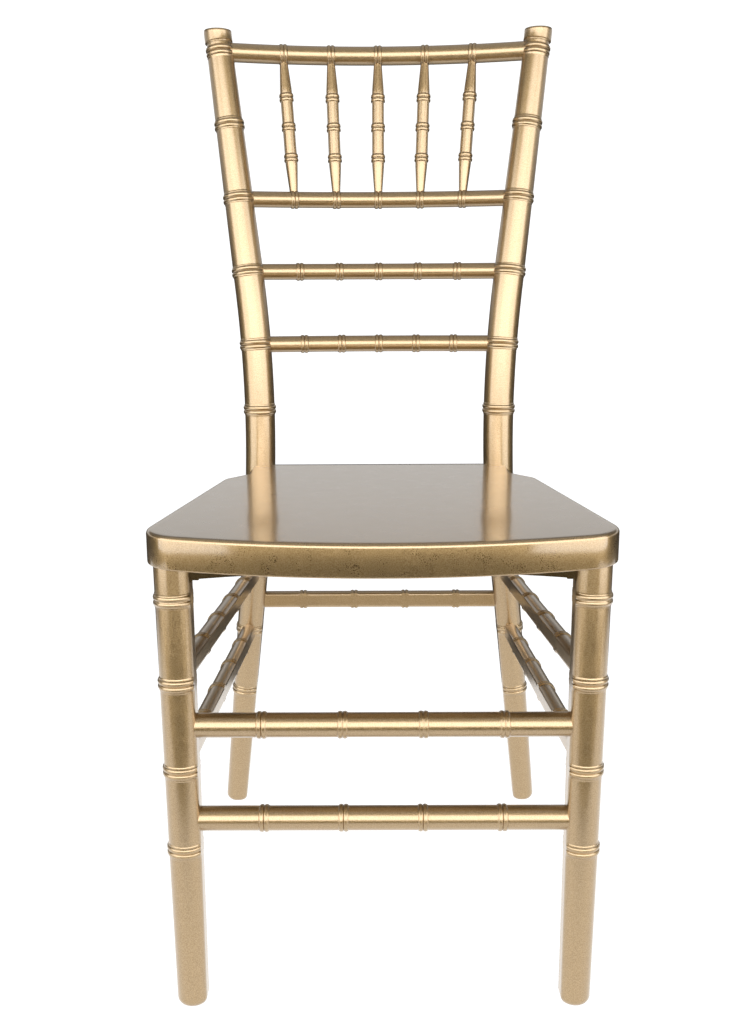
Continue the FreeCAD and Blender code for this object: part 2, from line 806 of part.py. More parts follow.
add_front_stretcher("front_stretcher_upper", front_upper_height)
add_front_stretcher("front_stretcher_lower", front_lower_height)
add_rear_stretcher()
add_side_stretchers("side_stretcher_upper", side_upper_front_height, side_upper_rear_height)
add_side_stretchers("side_stretcher_lower", side_lower_front_height, side_lower_rear_height)
low_spindle_holes, high_spindle_holes = add_spindles()
add_back_rail("crest_rail", crest_height, crest_radius, crest_bow, high_spindle_holes)
add_back_rail("back_rail_upper", upper_rail_height, upper_rail_radius, upper_rail_bow,
              low_spindle_holes)
add_back_rail("back_rail_middle", middle_rail_height, middle_rail_radius, middle_rail_bow)
add_back_rail("back_rail_lower", lower_rail_height, lower_rail_radius, lower_rail_bow)
socket_grow = seat_gap + socket_wall
socket_blocks = both_sides(leg_tenon(socket_grow, skirt_bottom, seat_underside))
socket_clearances = both_sides(leg_tenon(socket_grow + seat_gap, front_top.z, seat_underside))
rear_boards = add_seat_rails(socket_clearances)
add_seat(socket_blocks, rear_boards)
add_glides()
top_tenon = leg_tenon(0.0, front_top.z - overrun, seat_underside - seat_gap)
parts["front_leg_left"] = front_leg_body().fuse(top_tenon).cut(leg_holes)
parts["front_leg_right"] = mirrored(parts["front_leg_left"])
parts["back_post_left"] = post_body().cut(post_holes)
parts["back_post_right"] = mirrored(parts["back_post_left"])

# Put the origin under the middle of the footprint and write one file per piece
crest_rear_y = post_point(crest_height)[0].y + crest_bow + crest_radius + rail_ring_height
footprint_middle = vec(0, -(seat_front_edge_y + crest_rear_y) / 2, 0)
os.makedirs("parts", exist_ok=True)
for name, shape in parts.items():
    piece = shape.copy()
    piece.translate(footprint_middle)
    piece.exportStep("parts/" + name + ".step")
    print(name, "solids", len(piece.Solids), "valid", piece.isValid(), "cm3",
          round(piece.Volume / 1000, 2))
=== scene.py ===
import math
import bmesh
import bpy
from bpy.props import FloatProperty, FloatVectorProperty, IntProperty, PointerProperty
from mathutils import Matrix, Vector


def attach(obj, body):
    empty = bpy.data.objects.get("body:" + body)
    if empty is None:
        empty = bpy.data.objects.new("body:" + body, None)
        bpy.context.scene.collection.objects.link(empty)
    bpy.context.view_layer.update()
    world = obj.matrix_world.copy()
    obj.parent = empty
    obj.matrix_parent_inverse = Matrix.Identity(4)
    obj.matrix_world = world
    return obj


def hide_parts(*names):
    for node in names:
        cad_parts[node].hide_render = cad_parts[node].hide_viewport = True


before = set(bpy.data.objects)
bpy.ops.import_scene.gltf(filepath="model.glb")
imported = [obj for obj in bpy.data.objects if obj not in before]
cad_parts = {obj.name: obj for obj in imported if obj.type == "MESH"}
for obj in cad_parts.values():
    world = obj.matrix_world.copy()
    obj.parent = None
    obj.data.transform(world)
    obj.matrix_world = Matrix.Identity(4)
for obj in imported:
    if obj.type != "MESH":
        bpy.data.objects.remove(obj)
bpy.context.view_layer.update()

# Ringed dining chair: turned members with double beads, a flat hard seat and a plain studio.
# Everything is in metres, in the chair's own frame: X across, -Y to the front, Z up.

bl_info = {
    "name": "Ringed Dining Chair",
    "version": (1, 0, 0),
    "blender": (4, 5, 0),
    "location": "View3D > Sidebar > Chair",
    "description": "Builds the turned members, the seat, the gold paint and the studio of a chair",
    "category": "Add Mesh",
}

MM = 0.001
UP = Vector((0, 0, 1))
ACROSS = Vector((1, 0, 0))
REARWARD = Vector((0, 1, 0))

# Overall sizes, in millimetres, measured from the middle of the chair's footprint
SET_BACK = -206.17
OVERALL_HEIGHT = 923.0
SEAT_HEIGHT = 440.0
SEAT_SKIRT = 29.0
GLIDE_THICKNESS = 1.2

# Front legs: axis at the floor and under the seat, and the radii there
FRONT_FOOT = Vector((-174.6, 2.0, 0.0))
FRONT_TOP = Vector((-179.6, 16.0, 410.75))
FRONT_FOOT_RADIUS = 14.6
FRONT_LOW_RADIUS = 15.8
FRONT_TOP_RADIUS = 16.9
FRONT_RINGS = (152.0, 226.5, 306.5, 381.5)

# Back posts: foot, apex of the bend and top of the axis, and the radii there
POST_FOOT = Vector((-183.0, 403.0, 0.0))
POST_APEX = Vector((-128.6, 352.0, 495.6))
POST_TOP = Vector((-179.2, 409.0, 923.0))
POST_TANGENT = 155.0
POST_FOOT_RADIUS = 13.7
POST_MIDDLE_RADIUS = 17.1
POST_TOP_RADIUS = 14.6
POST_RINGS = (156.0, 237.0, 312.0, 383.0, 505.0, 578.5, 659.5, 740.0, 820.0)

# Bowed back rails: height, radius and bow
CREST = (900.0, 10.1, 28.0)
UPPER_RAIL = (740.0, 8.9, 25.0)
MIDDLE_RAIL = (659.5, 8.9, 18.0)
LOWER_RAIL = (578.5, 9.1, 11.0)
SPINDLE_PITCH = 6.57
SPINDLES = ("far_left", "left", "centre", "right", "far_right")

# Spindles: radii and the heights of their ring pairs
SPINDLE_END_RADIUS = 4.65
SPINDLE_RADIUS = 6.95
SPINDLE_TAPER = 31.0
SPINDLE_RINGS = (852.5, 820.0, 786.0)

# Room beside a ring pair that is still finely divided, on each kind of member
LEG_RING_MARGIN = 0.8
RAIL_RING_MARGIN = 1.2
SPINDLE_RING_MARGIN = 1.0

# How far the ends of rails and stretchers stay from the axis of the member they meet
END_INSET = 6.0

# Reach of a flat that lies outside every member, so that it cuts nothing
NO_FLAT = 1000.0

# Turned cap of a post: root and half width of its beads, radius, foot and edge of its drum
CAP_BEAD_ROOT = 14.1
CAP_BEAD_HALF = 2.45
CAP_DRUM_RADIUS = 15.4
CAP_DRUM_FOOT = 15.0
CAP_DRUM_EDGE = 1.6
CAP_DRUM_HEAD = 4.5

# Level rings above the cap's last leaning ring: rise, and loss of radius
CAP_RIM = ((1.8, 0.0), (3.0, 0.1), (3.7, 0.4), (4.2, 0.95), (4.45, 1.7))

# Stretchers: axis heights, radii and the depth of the flat on the inner side
FRONT_STRETCHER_RADIUS = 10.9
FRONT_STRETCHERS = {"front_stretcher_upper": 266.0, "front_stretcher_lower": 178.5}
FRONT_STRETCHER_BACK = 1.0
SIDE_STRETCHER_RADIUS = 9.6
SIDE_STRETCHERS = {"side_stretcher_upper": (318.0, 309.0), "side_stretcher_lower": (241.5, 235.0)}
SIDE_STRETCHER_INSET = 5.5
REAR_STRETCHER_RADIUS = 9.9
REAR_STRETCHER_HEIGHT = 273.0
STRETCHER_BAYS = 5

# Seat outline, half of it, as corner places and the radii that round them
SEAT_FRONT_Y = -33.0
SEAT_CORNERS = ((209.0, 5.0, 42.0), (168.5, 271.0, 22.0), (146.5, 301.0, 14.0), (146.5, 366.0, 4.0))
SEAT_WALL = 3.6
SEAT_PLATE = 5.0
RIB_DEPTH = 11.0
RIB_THICKNESS = 2.8
RIB_SPACING = 92.0
SOCKET_RADIUS = 15.25
SOCKET_BORE = 12.25

# Seat mesh: inset of the flat top's outer ring, steps of the curves, the angle in radians by
# which the front arc ends before its corner, and how far ribs are sunk into plate and wall
TOP_INSET = 4.0
LOWER_EDGE_STEPS = 4
TOP_EDGE_STEPS = 8
FRONT_STEPS = 16
FRONT_JOIN_SLACK = 0.012
SHORTEST_EDGE = 0.05
RIB_IN_PLATE = 0.4
RIB_IN_WALL = 0.5

# Angles in degrees past which an edge is crisp
SEAT_CREASE = 28
MEMBER_CREASE = 34

# Photograph's camera
CAMERA_PLACE = (-9.7, -1077.87, 644.6)
CAMERA_PITCH = 11.97
CAMERA_YAW = 0.281
CAMERA_ROLL = -0.292
CAMERA_LENS = 37.68
CAMERA_SENSOR = 36.0


# What a user would change


def length(name, description, default, least=0.0):
    return FloatProperty(name=name, description=description, default=default, min=least,
                         unit="LENGTH")


class ChairSettings(bpy.types.PropertyGroup):
    """Sizes and finish of the ringed chair."""

    leg_bead_width: length("Leg bead width", "Width of one bead on the legs and posts", 0.0049, 0.001)
    leg_bead_height: length("Leg bead height", "How far a bead stands out of a leg or post", 0.0016)
    leg_shoulder_width: length(
        "Leg shoulder width", "Width of the thin step beside a pair of leg beads", 0.0016)
    leg_shoulder_height: length(
        "Leg shoulder height", "Height of the thin step beside a pair of leg beads", 0.0004)
    rail_bead_width: length(
        "Rail bead width", "Width of one bead on the rails and stretchers", 0.0042, 0.001)
    rail_bead_height: length(
        "Rail bead height", "How far a bead stands out of a rail or stretcher", 0.0012)
    spindle_bead_width: length(
        "Spindle bead width", "Width of one bead on the spindles", 0.0044, 0.001)
    spindle_bead_height: length(
        "Spindle bead height", "How far a bead stands out of a spindle", 0.0012)
    leg_flat: length("Leg flat", "Depth of the flat on the inner side of the legs", 0.0018)
    stretcher_flat: length(
        "Stretcher flat", "Depth of the flat on the inner side of a stretcher", 0.0025)
    rear_stretcher_flat: length(
        "Rear stretcher flat", "Depth of the flat on the rear stretcher", 0.0036)
    sides: IntProperty(
        name="Sides", description="Faces round each turned member", default=40, min=8, max=96)
    seat_edge: length("Seat edge", "Radius of the seat's rounded top edge", 0.0036, 0.0005)
    seat_lower_edge: length(
        "Seat lower edge", "Radius of the seat's rounded lower edge", 0.0015, 0.0002)
    gold: FloatVectorProperty(
        name="Gold", description="Colour of the metallic paint", subtype="COLOR", size=3,
        min=0.0, max=1.0, default=(0.48, 0.33, 0.155))
    gold_deep: FloatVectorProperty(
        name="Deep gold", description="Darker tone of the paint where it lies thin or shaded",
        subtype="COLOR", size=3, min=0.0, max=1.0, default=(0.25, 0.15, 0.045))
    sparkle: FloatProperty(
        name="Sparkle", description="Strength of the fine metallic grain", default=0.5,
        min=0.0, max=1.0, subtype="FACTOR")
    roughness: FloatProperty(
        name="Roughness", description="Roughness of the paint", default=0.38, min=0.05,
        max=1.0, subtype="FACTOR")


def settings():
    return bpy.context.scene.chair_settings


# Shader expressions


def connect(tree, target, value):
    """Links a wire or a socket to an input, or sets the input to a plain value."""
    if isinstance(value, Wire):
        tree.links.new(value.socket, target)
    elif isinstance(value, bpy.types.NodeSocket):
        tree.links.new(value, target)
    elif value is not None:
        target.default_value = value


def add_node(tree, kind, options=None, stops=None, **sockets):
    """Adds a node. Inputs are given by name, or by place as i0, i1 and so on."""
    node = tree.nodes.new(kind)
    for key, value in (options or {}).items():
        setattr(node, key, value)
    if stops:
        elements = node.color_ramp.elements
        while len(elements) < len(stops):
            elements.new(0.5)
        for element, (place, colour) in zip(elements, stops):
            element.position = place
            element.color = colour
    for key, value in sockets.items():
        name = key.replace("_", " ")
        connect(tree, node.inputs[int(name[1:]) if name[1:].isdigit() else name], value)
    return node


def numbered(values):
    """Values for a node's inputs in their order."""
    return {"i%d" % place: value for place, value in enumerate(values)}


class Wire:
    """One socket of a material's nodes, which arithmetic turns into Math nodes."""

    def __init__(self, tree, socket):
        self.tree = tree
        self.socket = socket

    def maths(self, operation, *values):
        node = add_node(self.tree, "ShaderNodeMath", {"operation": operation}, **numbered(values))
        return Wire(self.tree, node.outputs[0])

    def __add__(self, other):
        return self.maths("ADD", self, other)

    __radd__ = __add__

    def __mul__(self, other):
        return self.maths("MULTIPLY", self, other)

    __rmul__ = __mul__

    def __sub__(self, other):
        return self.maths("SUBTRACT", self, other)

    def __rsub__(self, other):
        return self.maths("SUBTRACT", other, self)

    def saturated(self):
        return Wire(self.tree, add_node(self.tree, "ShaderNodeClamp", i0=self).outputs[0])

    def between(self, low, high):
        """Share from 0 at low to 1 at high, smoothly."""
        node = add_node(self.tree, "ShaderNodeMapRange", {"interpolation_type": "SMOOTHSTEP"},
                        Value=self, From_Min=low, From_Max=high)
        return Wire(self.tree, node.outputs[0])


class Paint:
    """A material being built: node() adds any node and returns one of its outputs."""

    def __init__(self, name):
        self.material = bpy.data.materials.new(name)
        self.material.use_nodes = True
        self.tree = self.material.node_tree
        self.tree.nodes.clear()
        self.shader = self.tree.nodes.new("ShaderNodeBsdfPrincipled")
        output = self.tree.nodes.new("ShaderNodeOutputMaterial")
        self.tree.links.new(self.shader.outputs[0], output.inputs["Surface"])

    def node(self, kind, output=0, options=None, **sockets):
        return Wire(self.tree, add_node(self.tree, kind, options, **sockets).outputs[output])

    def place(self):
        return self.node("ShaderNodeTexCoord", output="Object")

    def noise(self, at, scale, detail, roughness=0.5):
        return self.node("ShaderNodeTexNoise", Vector=at, Scale=scale, Detail=detail,
                         Roughness=roughness)

    def mix(self, factor, first, second):
        return self.node("ShaderNodeMix", output=2, options={"data_type": "RGBA"},
                         i0=factor, i6=first, i7=second)

    def bump(self, height, strength, distance, under=None):
        return self.node("ShaderNodeBump", Height=height, Strength=strength,
                         Distance=distance, Normal=under)

    def set(self, **sockets):
        for key, value in sockets.items():
            connect(self.tree, self.shader.inputs[key.replace("_", " ")], value)


def rgba(colour, gain=1.0):
    return tuple(min(1.0, channel * gain) for channel in colour) + (1.0,)


# Scales of the paint's noises and the values between which its speckle turns into grain
CLOUD_SCALE = 55.0
SPECKLE_SCALE = 1150.0
ORANGE_PEEL_SCALE = 160.0
GRAIN_RANGE = (0.36, 0.64)

# How strongly the clouds change tone and roughness, the grain's roughness, and the middle tone
CLOUD_STRENGTH = 0.1
GRAIN_ROUGHNESS = 0.12
MIDDLE_TONE = 0.55
COAT_IOR = 1.9

# Along Y, the paper is shaded in front of the first place and fully pale behind the second
PAPER_FADE = (-0.85, -0.45)
PAPER_BASE = 0.15
WHITE = (1.0, 1.0, 1.0, 1.0)


def gold_paint(name, coat=1.0, coat_roughness=0.2, depth=1.0, smoother=0.0):
    """Satin metallic gold paint with a fine grain, under a clear coat of the given weight. A depth
    below 1 darkens both colours, which makes a copy with painted shade.
    """
    chosen = settings()
    paint = Paint(name)
    place = paint.place()
    cloud = paint.noise(place, CLOUD_SCALE, detail=4.0, roughness=0.6)
    speckle = paint.noise(place, SPECKLE_SCALE, detail=2.0, roughness=0.6)
    orange_peel = paint.noise(place, ORANGE_PEEL_SCALE, detail=1.0)
    clouding = (cloud - 0.5) * CLOUD_STRENGTH
    grain = speckle.between(*GRAIN_RANGE) - 0.5
    tone = clouding + grain * chosen.sparkle + MIDDLE_TONE
    rough = clouding + grain * GRAIN_ROUGHNESS + (chosen.roughness - smoother)
    # A depth below 1 darkens both tones: painted shade
    colour = paint.mix(tone.saturated(), rgba(chosen.gold_deep, depth), rgba(chosen.gold, depth))
    fine = paint.bump(speckle, 0.05, 0.0002)
    skin = paint.bump(orange_peel, 0.04, 0.0004, under=fine)
    paint.set(Base_Color=colour, Metallic=1.0, Roughness=rough.saturated(), Normal=skin,
              Coat_Weight=coat, Coat_IOR=COAT_IOR, Coat_Roughness=coat_roughness)
    return paint.material


def glide_plastic(name):
    """Dull dark plastic of the foot glides."""
    paint = Paint(name)
    scuff = paint.noise(paint.place(), 180.0, detail=5.0, roughness=0.65)
    colour = paint.mix(scuff.between(0.3, 0.75), rgba((0.05, 0.042, 0.035)), rgba((0.12, 0.1, 0.085)))
    paint.set(Base_Color=colour, Roughness=scuff * 0.3 + 0.45,
              Normal=paint.bump(scuff, 0.2, 0.0003))
    return paint.material


def studio_paper(name, front_shade):
    """Pale paper that shines by itself. In front of the chair it darkens to front_shade."""
    paint = Paint(name)
    along = paint.node("ShaderNodeSeparateXYZ", output="Y", Vector=paint.place())
    lit = paint.mix(along.between(*PAPER_FADE), rgba((front_shade,) * 3), WHITE)
    paint.set(Base_Color=rgba((PAPER_BASE,) * 3), Roughness=0.75, Emission_Color=lit,
              Emission_Strength=1.0)
    return paint.material


FINISHES = {"gold_paint": (gold_paint, {}),
            "seat_paint": (gold_paint, {"coat_roughness": 0.12, "smoother": 0.04}),
            # Dark copy without coat: painted shade for the seat rails under the seat
            "shaded_paint": (gold_paint, {"coat": 0.0, "depth": 0.2}),
            "glide_plastic": (glide_plastic, {}),
            "studio_paper": (studio_paper, {"front_shade": 0.4}),
            "mirrored_paper": (studio_paper, {"front_shade": 0.9})}


def material(name):
    """The named material, built at its first use."""
    if name in bpy.data.materials:
        return bpy.data.materials[name]
    maker, options = FINISHES[name]
    return maker(name, **options)


# Paths of the members


def set_in(point):
    """Point of the chair in metres, from millimetres measured behind the front feet."""
    return Vector((point.x, point.y + SET_BACK, point.z)) * MM


def blend(a, b, t):
    return a + (b - a) * t


def front_leg_point(height):
    return FRONT_FOOT + (FRONT_TOP - FRONT_FOOT) * (height / FRONT_TOP.z)


class PostBend:
    """The left post's axis: a straight run, an arc and a straight run."""

    def __init__(self):
        self.low = (POST_APEX - POST_FOOT).normalized()
        self.high = (POST_TOP - POST_APEX).normalized()
        self.start = POST_APEX - self.low * POST_TANGENT
        self.end = POST_APEX + self.high * POST_TANGENT
        self.angle = self.low.angle(self.high)
        self.radius = POST_TANGENT / math.tan(self.angle / 2)
        self.normal = (self.high - self.low * math.cos(self.angle)).normalized()
        self.centre = self.start + self.normal * self.radius

    def on_arc(self, angle):
        out = self.normal * math.cos(angle) - self.low * math.sin(angle)
        return self.centre - out * self.radius

    def point(self, height):
        if height <= self.start.z:
            return POST_FOOT + self.low * (height / self.low.z)
        if height >= self.end.z:
            return self.end + self.high * ((height - self.end.z) / self.high.z)
        # Halved until the step is far below any size of the chair
        low, high = 0.0, self.angle
        for _ in range(40):
            middle = (low + high) / 2
            if self.on_arc(middle).z < height:
                low = middle
            else:
                high = middle
        return self.on_arc(low)


POST = PostBend()


def stations(low, high, rings, reach, coarse=6.0, fine=0.45):
    """Places from low to high, close together near each ring and wide apart elsewhere."""
    places = [low]
    while places[-1] < high:
        here = places[-1]
        ahead = min([ring - reach - here for ring in rings if ring + reach > here] + [high])
        step = fine if ahead <= 0 else min(coarse, ahead)
        places.append(here + max(step, fine))
    places[-1] = high
    return places


def profile(table, place):
    """Value at a place, from a table of (place, value) pairs, straight between them."""
    if place <= table[0][0]:
        return table[0][1]
    for (start, first), (end, last) in zip(table, table[1:]):
        if place <= end:
            return blend(first, last, (place - start) / (end - start))
    return table[-1][1]


def rounded_foot(radius, rounding=7.0, steps=8):
    """Table of (height, radius) for the rounded lower end of a leg."""
    table = []
    for step in range(steps + 1):
        angle = math.pi / 2 * step / steps
        table.append((rounding * (1 - math.cos(angle)), radius - rounding * (1 - math.sin(angle))))
    return table


def cap_table():
    """Table of (height, radius) for the turned cap on a post."""
    turned = [(31.0, POST_TOP_RADIUS), (30.2, POST_TOP_RADIUS + 0.35), (29.2, POST_TOP_RADIUS + 0.35),
              (28.9, 14.75)]
    for depth, radius in ((26.4, 15.5), (21.4, 15.8)):
        for step in range(-6, 7):
            share = step / 6
            swell = math.sqrt(max(0.0, 1 - share * share))
            turned.append((depth - share * CAP_BEAD_HALF,
                           CAP_BEAD_ROOT + (radius - CAP_BEAD_ROOT) * swell))
    turned += [(18.6, 13.9), (18.2, 13.6), (15.6, 13.6), (15.2, 13.9)]
    for step in range(7):
        angle = math.pi / 2 * step / 6
        turned.append((CAP_DRUM_FOOT - CAP_DRUM_EDGE * math.sin(angle),
                       CAP_DRUM_RADIUS - CAP_DRUM_EDGE * math.cos(angle)))
    turned.append((CAP_DRUM_HEAD, CAP_DRUM_RADIUS))
    return sorted((OVERALL_HEIGHT - depth, radius) for depth, radius in turned)


# Ringed members by Geometry Nodes


class NodePlan:
    """A Geometry Nodes tree being built."""

    def __init__(self, name):
        self.tree = bpy.data.node_groups.new(name, "GeometryNodeTree")

    def socket(self, name, kind, default=None, out=False):
        made = self.tree.interface.new_socket(
            name=name, in_out="OUTPUT" if out else "INPUT", socket_type="NodeSocket" + kind)
        if default is not None:
            made.default_value = default

    def inputs(self):
        return self.tree.nodes.new("NodeGroupInput").outputs

    def add(self, kind, output=0, options=None, **sockets):
        return add_node(self.tree, kind, options, **sockets).outputs[output]

    def maths(self, operation, *values):
        return self.add("ShaderNodeMath", options={"operation": operation}, **numbered(values))

    def vectors(self, operation, *values, output=0):
        return self.add("ShaderNodeVectorMath", output, {"operation": operation},
                        **numbered(values))

    def attribute(self, name, kind="FLOAT"):
        return self.add("GeometryNodeInputNamedAttribute", options={"data_type": kind}, Name=name)

    def finish(self, geometry):
        end = self.tree.nodes.new("NodeGroupOutput")
        self.tree.links.new(geometry, end.inputs[0])


# Length over which a shoulder rises, in metres
SHOULDER_RUN = 0.0004

MEMBER_INPUTS = (("Path", "Geometry", None), ("Rings", "Object", None),
                 ("Bead Width", "Float", 0.0049), ("Bead Height", "Float", 0.0016),
                 ("Shoulder Width", "Float", 0.0), ("Shoulder Height", "Float", 0.0),
                 ("Inward", "Vector", (1.0, 0.0, 0.0)), ("Lowest", "Float", -1.0),
                 ("Highest", "Float", 2.0), ("Sides", "Int", 40), ("Finish", "Material", None))


def ringed_member_plan():
    """Sweeps a round section along a path and raises a pair of beads at each ring place."""
    if "ringed_member" in bpy.data.node_groups:
        return bpy.data.node_groups["ringed_member"]
    plan = NodePlan("ringed_member")
    for label, kind, default in MEMBER_INPUTS:
        plan.socket(label, kind, default)
    plan.socket("Member", "Geometry", out=True)
    given = plan.inputs()
    here = plan.add("GeometryNodeInputPosition")
    rings = plan.add("GeometryNodeObjectInfo", output="Geometry", Object=given["Rings"])
    distance = plan.add("GeometryNodeProximity", output="Distance",
                        options={"target_element": "POINTS"}, i0=rings, i2=here)
    width = given["Bead Width"]
    half = plan.maths("MULTIPLY", width, 0.5)
    offset = plan.maths("DIVIDE", plan.maths("SUBTRACT", distance, half), half)
    under_arc = plan.maths("SUBTRACT", 1.0, plan.maths("MULTIPLY", offset, offset))
    swell = plan.maths("SQRT", plan.maths("MAXIMUM", under_arc, 0.0))
    bead = plan.maths("MULTIPLY", swell, given["Bead Height"])
    left_over = plan.maths("SUBTRACT", plan.maths("ADD", width, given["Shoulder Width"]), distance)
    step = plan.maths("MULTIPLY", left_over, 1 / SHOULDER_RUN)
    step = plan.maths("MINIMUM", plan.maths("MAXIMUM", step, 0.0), 1.0)
    shoulder = plan.maths("MULTIPLY", step, given["Shoulder Height"])
    raised = plan.maths("MAXIMUM", bead, shoulder)
    radius = plan.maths("ADD", plan.attribute("bay_radius"), raised)
    curve = plan.add("GeometryNodeMeshToCurve", Mesh=given["Path"])
    curve = plan.add("GeometryNodeStoreNamedAttribute",
                     options={"data_type": "FLOAT_VECTOR", "domain": "POINT"},
                     Geometry=curve, Name="axis_place", Value=here)
    circle = plan.add("GeometryNodeCurvePrimitiveCircle", Resolution=given["Sides"], Radius=1.0)
    swept = plan.add("GeometryNodeCurveToMesh", Curve=curve, Profile_Curve=circle,
                     Scale=radius, Fill_Caps=True)
    out = plan.vectors("SUBTRACT", here, plan.attribute("axis_place", "FLOAT_VECTOR"))
    inward = plan.vectors("DOT_PRODUCT", out, given["Inward"], output="Value")
    over = plan.maths("MAXIMUM", plan.maths("SUBTRACT", inward, plan.attribute("flat_reach")), 0.0)
    cut_off = plan.add("ShaderNodeVectorMath", options={"operation": "SCALE"}, i0=given["Inward"],
                       Scale=over)
    flat = add_node(plan.tree, "ShaderNodeSeparateXYZ", i0=plan.vectors("SUBTRACT", here, cut_off))
    level = plan.maths("MINIMUM", plan.maths("MAXIMUM", flat.outputs[2], given["Lowest"]),
                       given["Highest"])
    place = plan.add("ShaderNodeCombineXYZ", i0=flat.outputs[0], i1=flat.outputs[1], i2=level)
    moved = plan.add("GeometryNodeSetPosition", Geometry=swept, Position=place)
    smooth = plan.add("GeometryNodeSetShadeSmooth", options={"domain": "FACE"}, Geometry=moved,
                      Shade_Smooth=True)
    crease = plan.add("FunctionNodeCompare", options={"operation": "GREATER_THAN"},
                      i0=plan.add("GeometryNodeInputMeshEdgeAngle"), i1=math.radians(MEMBER_CREASE))
    smooth = plan.add("GeometryNodeSetShadeSmooth", options={"domain": "EDGE"}, Geometry=smooth,
                      Selection=crease, Shade_Smooth=False)
    real = plan.add("GeometryNodeRealizeInstances", Geometry=smooth)
    painted = plan.add("GeometryNodeSetMaterial", Geometry=real, Material=given["Finish"])
    plan.finish(painted)
    return plan.tree


def mesh_object(name, mesh):
    made = bpy.data.objects.new(name, mesh)
    bpy.context.scene.collection.objects.link(made)
    return made


def identifier(tree, name):
    for item in tree.interface.items_tree:
        if item.item_type == "SOCKET" and item.in_out == "INPUT" and item.name == name:
            return item.identifier
    raise RuntimeError("no input named " + name)


def run_plan(name, mesh, tree, values):
    """Applies a Geometry Nodes tree to a mesh and returns the plain result as an object."""
    carrier = mesh_object(name + "_path", mesh)
    modifier = carrier.modifiers.new("plan", "NODES")
    modifier.node_group = tree
    for key, value in values.items():
        modifier[identifier(tree, key)] = value
    carrier.update_tag()
    graph = bpy.context.evaluated_depsgraph_get()
    result = bpy.data.meshes.new_from_object(carrier.evaluated_get(graph))
    carrier.modifiers.remove(modifier)
    bpy.data.objects.remove(carrier)
    result.name = name
    return mesh_object(name, result)


def path_mesh(name, points, radii, reaches):
    """A line of points that carries the member's radius and the reach of its flat."""
    mesh = bpy.data.meshes.new(name)
    mesh.from_pydata([set_in(p) for p in points], [(i, i + 1) for i in range(len(points) - 1)], [])
    for label, values in (("bay_radius", radii), ("flat_reach", reaches)):
        layer = mesh.attributes.new(label, "FLOAT", "POINT")
        layer.data.foreach_set("value", [value * MM for value in values])
    return mesh


def ringed_member(name, points, radii, reaches, rings, style, inward=ACROSS, lowest=-1000.0,
                  highest=2000.0):
    """One turned member. Rings are points on its axis, style is leg, rail or spindle."""
    chosen = settings()
    marks = bpy.data.meshes.new(name + "_rings")
    marks.from_pydata([set_in(p) for p in rings], [], [])
    ring_object = mesh_object(name + "_rings", marks)
    values = {"Rings": ring_object,
              "Bead Width": getattr(chosen, style + "_bead_width"),
              "Bead Height": getattr(chosen, style + "_bead_height"),
              "Inward": tuple(inward), "Lowest": lowest * MM, "Highest": highest * MM,
              "Sides": chosen.sides, "Finish": material("gold_paint")}
    if style == "leg":
        values["Shoulder Width"] = chosen.leg_shoulder_width
        values["Shoulder Height"] = chosen.leg_shoulder_height
    made = run_plan(name, path_mesh(name, points, radii, reaches), ringed_member_plan(), values)
    bpy.data.objects.remove(ring_object)
    for label in ("axis_place", "bay_radius", "flat_reach"):
        layer = made.data.attributes.get(label)
        if layer:
            made.data.attributes.remove(layer)
    return made


def settle(piece, *nodes):
    """Puts a finished piece on the chair's body in the place of its construction solids."""
    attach(piece, "root")
    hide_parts(*nodes)


def flip(point):
    return Vector((-point.x, point.y, point.z))


def both_sides(points):
    """The same points for the left side and mirrored for the right."""
    return (("left", points, ACROSS), ("right", [flip(p) for p in points], -ACROSS))


def turned_pair(name, node, points, radii, reaches, rings, highest):
    """A left and a right leg or post, each standing on its glide."""
    for (side, path, inward), (_, marks, _) in zip(both_sides(points), both_sides(rings)):
        made = ringed_member(name + side, path, radii, reaches, marks, "leg", inward,
                             lowest=GLIDE_THICKNESS, highest=highest)
        settle(made, node + side)


def rail_bow(size):
    """Where a rail meets the left post, and the radius and centre line of its bow in plan."""
    height, _, bow = size
    left = POST.point(height)
    arc = (left.x ** 2 + bow ** 2) / (2 * bow)
    return left, arc, left.y + bow - arc


def bowed_rail(name, node, size):
    """Bowed back rail between the posts, with a ring pair at each spindle line."""
    height, radius, _ = size
    left, arc, centre_y = rail_bow(size)
    centre = Vector((0, centre_y, height))
    pitch = -2 * left.x / SPINDLE_PITCH
    rings = [arc * math.asin(pitch * index / arc) for index in (-2, -1, 0, 1, 2)]
    half = arc * math.asin(-left.x / arc) - END_INSET
    reach = 1000 * settings().rail_bead_width + RAIL_RING_MARGIN

    def at(length):
        angle = length / arc
        return centre + Vector((math.sin(angle), math.cos(angle), 0)) * arc

    points = [at(place) for place in stations(-half, half, rings, reach)]
    made = ringed_member(name, points, [radius] * len(points), [NO_FLAT] * len(points),
                         [at(ring) for ring in rings], "rail")
    settle(made, node)


def spindle_line(size, index):
    """Where a spindle's axis crosses a bowed rail's axis."""
    left, arc, centre_y = rail_bow(size)
    across = -2 * left.x / SPINDLE_PITCH * index
    return Vector((across, centre_y + math.sqrt(arc ** 2 - across ** 2), size[0]))


# Operators


class ChairPiece:
    """What every operator of this add-on shares."""

    bl_options = {"REGISTER", "UNDO"}


